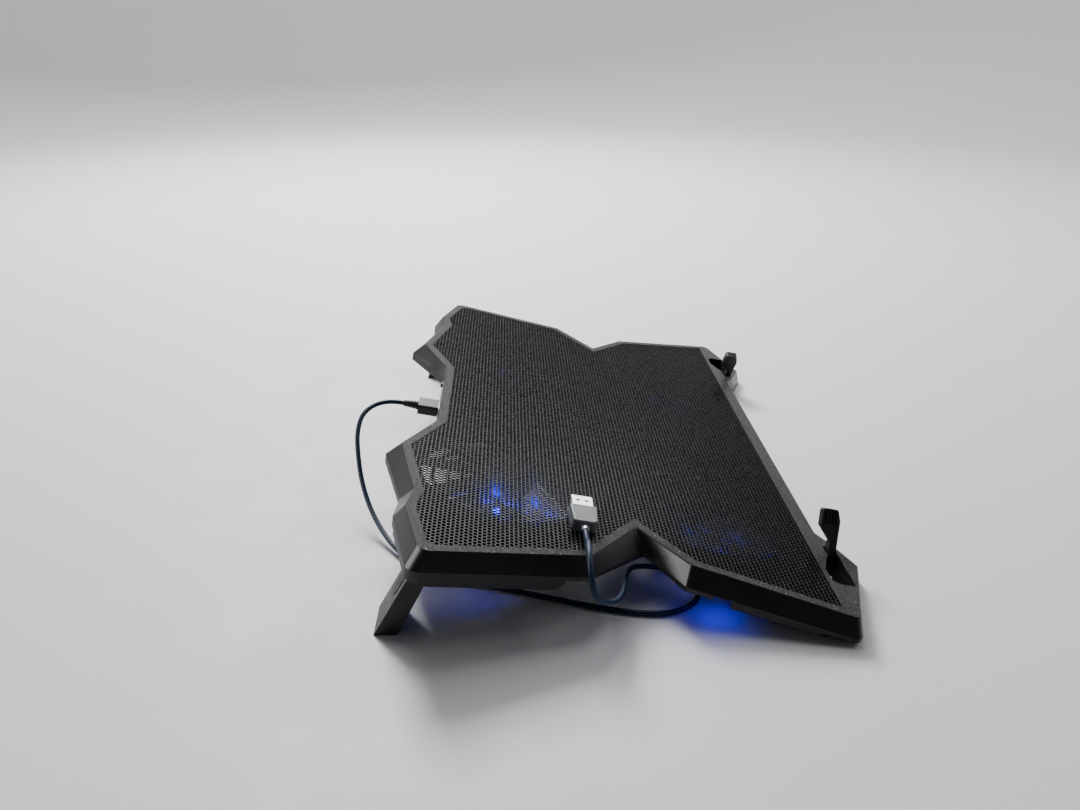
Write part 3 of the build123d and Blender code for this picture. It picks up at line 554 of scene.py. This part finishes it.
def repeat(mesh, count, step):
    """Copies everything in the mesh until it stands at least `count` times in a row."""
    made = 1
    while made < count:
        copy = bmesh.ops.duplicate(mesh, geom=mesh.verts[:] + mesh.edges[:] + mesh.faces[:])
        moved = [item for item in copy["geom"] if isinstance(item, bmesh.types.BMVert)]
        bmesh.ops.translate(mesh, verts=moved, vec=Vector(step) * made)
        made *= 2


def hexagon_cell():
    """One hole with the metal round it, its flats facing +X and -X."""
    cell = bmesh.new()
    profile = [(CELL_RADIUS, SHEET_TOP), (HOLE_RADIUS, SHEET_TOP), (HOLE_NECK, SHEET_TOP - NECK_DEPTH)]
    profile += [(HOLE_FOOT, SHEET_BOTTOM), (CELL_RADIUS, SHEET_BOTTOM)]
    lathe(cell, [(radius * MM, height) for radius, height in profile], 6)
    turn = Matrix.Rotation(radians(30), 3, "Z")
    bmesh.ops.rotate(cell, verts=cell.verts, cent=(0, 0, 0), matrix=turn)
    return cell


def perforated_quarter(name, side, low_row, row_pairs, panel):
    """The holes of one quarter of the deck, kept where the CAD panel or its hidden edge is near."""
    mesh = hexagon_cell()
    repeat(mesh, 2, (PITCH / 2, ROW, 0))
    repeat(mesh, COLUMNS, (side * PITCH, 0, 0))
    repeat(mesh, row_pairs, (0, 2 * ROW, 0))
    bmesh.ops.translate(mesh, verts=mesh.verts, vec=(side * PITCH / 2, low_row * ROW, 0))
    top_row = (low_row + 2 * row_pairs - 0.5) * ROW
    outside = []
    for face in mesh.faces:
        middle = face.calc_center_median()
        near = DECK @ Vector((middle.x, middle.y, (SHEET_TOP + SHEET_BOTTOM) / 2))
        if middle.y > top_row or panel.find_nearest(near, REACH)[0] is None:
            outside.append(face)
    bmesh.ops.delete(mesh, geom=outside, context="FACES")
    bmesh.ops.remove_doubles(mesh, verts=mesh.verts, dist=0.02 * MM)
    bmesh.ops.transform(mesh, verts=mesh.verts, matrix=DECK)
    piece = make_piece("panel_" + name, mesh, "mesh", 25)
    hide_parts("mesh_panel")


def make_panel():
    solid = nodes["mesh_panel"].data
    points = [vertex.co for vertex in solid.vertices]
    panel = BVHTree.FromPolygons(points, [tuple(face.vertices) for face in solid.polygons])
    for name, (side, low_row, row_pairs) in QUARTERS.items():
        perforated_quarter(name, side, low_row, row_pairs, panel)


make_panel()


# ---------------------------------------------------------------- floor, backdrop and light
FLOOR_RADIUS, BEND_RADIUS, WALL_RADIUS, WALL_TOP = 1.9, 1.1, 3.0, 3.2
BEND_STEPS = 16
# The paper's dark part behind the camera is painted shade.
LIT_SIDE = (-1.6, -0.8)         # X at which the paper goes from dark to light
BLUE_LIGHT = (0.0, 0.01, 1.0)

# Place, target, size, power in watts, and whether it lights surfaces or only shows in their gloss.
AREA_LIGHTS = {
    "key": ((1.3, 0.4, 1.2), (0.0, 0.0, 0.0), (0.6, 0.6), 46, True),
    "overhead": ((0.85, 0.1, 1.45), (0.1, 0.0, 0.0), (1.2, 1.2), 13, True),
    "back": ((1.65, -0.2, 1.15), (0.0, 0.0, 0.05), (1.2, 0.5), 12, False),
    "rear": ((-0.15, 1.5, 0.95), (-0.1, 0.0, 0.05), (1.2, 0.9), 24, False),
    "wall": ((1.3, 0.0, 2.3), (2.9, 0.0, 1.3), (3.0, 0.8), 36, True),
    "floor_right": ((0.2, -1.4, 1.4), (0.2, -0.9, 0.0), (1.0, 1.0), 6, True),
}

# The blue spill of the lamps on their surroundings: place in the deck frame, and power in watts.
GLOWS = {
    "rear_left": ((-0.135, 0.076, -0.005), 0.05),
    "rear_left_low": ((-0.140, 0.053, -0.005), 0.03),
    "rear_right": ((0.045, 0.073, -0.006), 0.012),
    "front_left": ((-0.141, -0.049, -0.006), 0.012),
    "front_right": ((0.045, -0.049, -0.006), 0.012),
    "vent": ((-0.178, -0.048, -0.012), 0.008),
}


def backdrop_paper():
    """Pale seamless paper, painted dark behind the camera as shade so that it throws no light back."""
    paper = Finish("backdrop", (0.76, 0.76, 0.78), 0.6)
    clouds = paper.mix(paper.noise(0.4, 4), (0.74, 0.74, 0.77, 1), (0.78, 0.78, 0.795, 1))
    across = paper.node("ShaderNodeSeparateXYZ", {0: paper.place})
    light = paper.span(across, LIT_SIDE, (0, 1))
    paper.link(paper.mix(light, (0.06, 0.06, 0.065, 1), clouds), "Base Color")
    paper.vary_gloss(0.5, 0.65, 0.05)
    return paper.material


def make_backdrop():
    """A round floor that curves up into a wall all the way round the object."""
    mesh = bmesh.new()
    profile = [(0.0, 0.0)]
    for step in range(BEND_STEPS + 1):
        turn = step * pi / (2 * BEND_STEPS)
        profile.append((FLOOR_RADIUS + BEND_RADIUS * sin(turn), BEND_RADIUS - BEND_RADIUS * cos(turn)))
    profile.append((WALL_RADIUS, WALL_TOP))
    lathe(mesh, profile, 96)
    bmesh.ops.recalc_face_normals(mesh, faces=mesh.faces)
    if sum(face.normal.z for face in mesh.faces) < 0:
        bmesh.ops.reverse_faces(mesh, faces=mesh.faces)
    data = smooth_mesh("backdrop", mesh)
    data.materials.append(backdrop_paper())
    show(bpy.data.objects.new("backdrop", data))


def area_light(name, place, target, size, power, lights_surfaces):
    data = bpy.data.lights.new(name, "AREA")
    data.shape = "RECTANGLE"
    data.size, data.size_y = size
    data.energy = power
    light = bpy.data.objects.new(name, data)
    light.location = place
    aim = Vector(target) - Vector(place)
    light.rotation_euler = aim.to_track_quat("-Z", "Y").to_euler()
    light.visible_diffuse = lights_surfaces
    show(light)


def glow_light(name, place, power):
    data = bpy.data.lights.new(name, "POINT")
    data.energy = power
    data.color = BLUE_LIGHT
    data.shadow_soft_size = 2 * MM
    light = bpy.data.objects.new(name, data)
    light.location = DECK @ Vector(place)
    show(light)


def make_world():
    world = bpy.data.worlds.new("studio")
    world.use_nodes = True
    background = world.node_tree.nodes["Background"]
    background.inputs["Color"].default_value = (0.80, 0.82, 0.86, 1)
    background.inputs["Strength"].default_value = 0.03
    bpy.context.scene.world = world


make_backdrop()
make_world()
for name, settings in AREA_LIGHTS.items():
    area_light(name, *settings)
for name, settings in GLOWS.items():
    glow_light("glow_" + name, *settings)
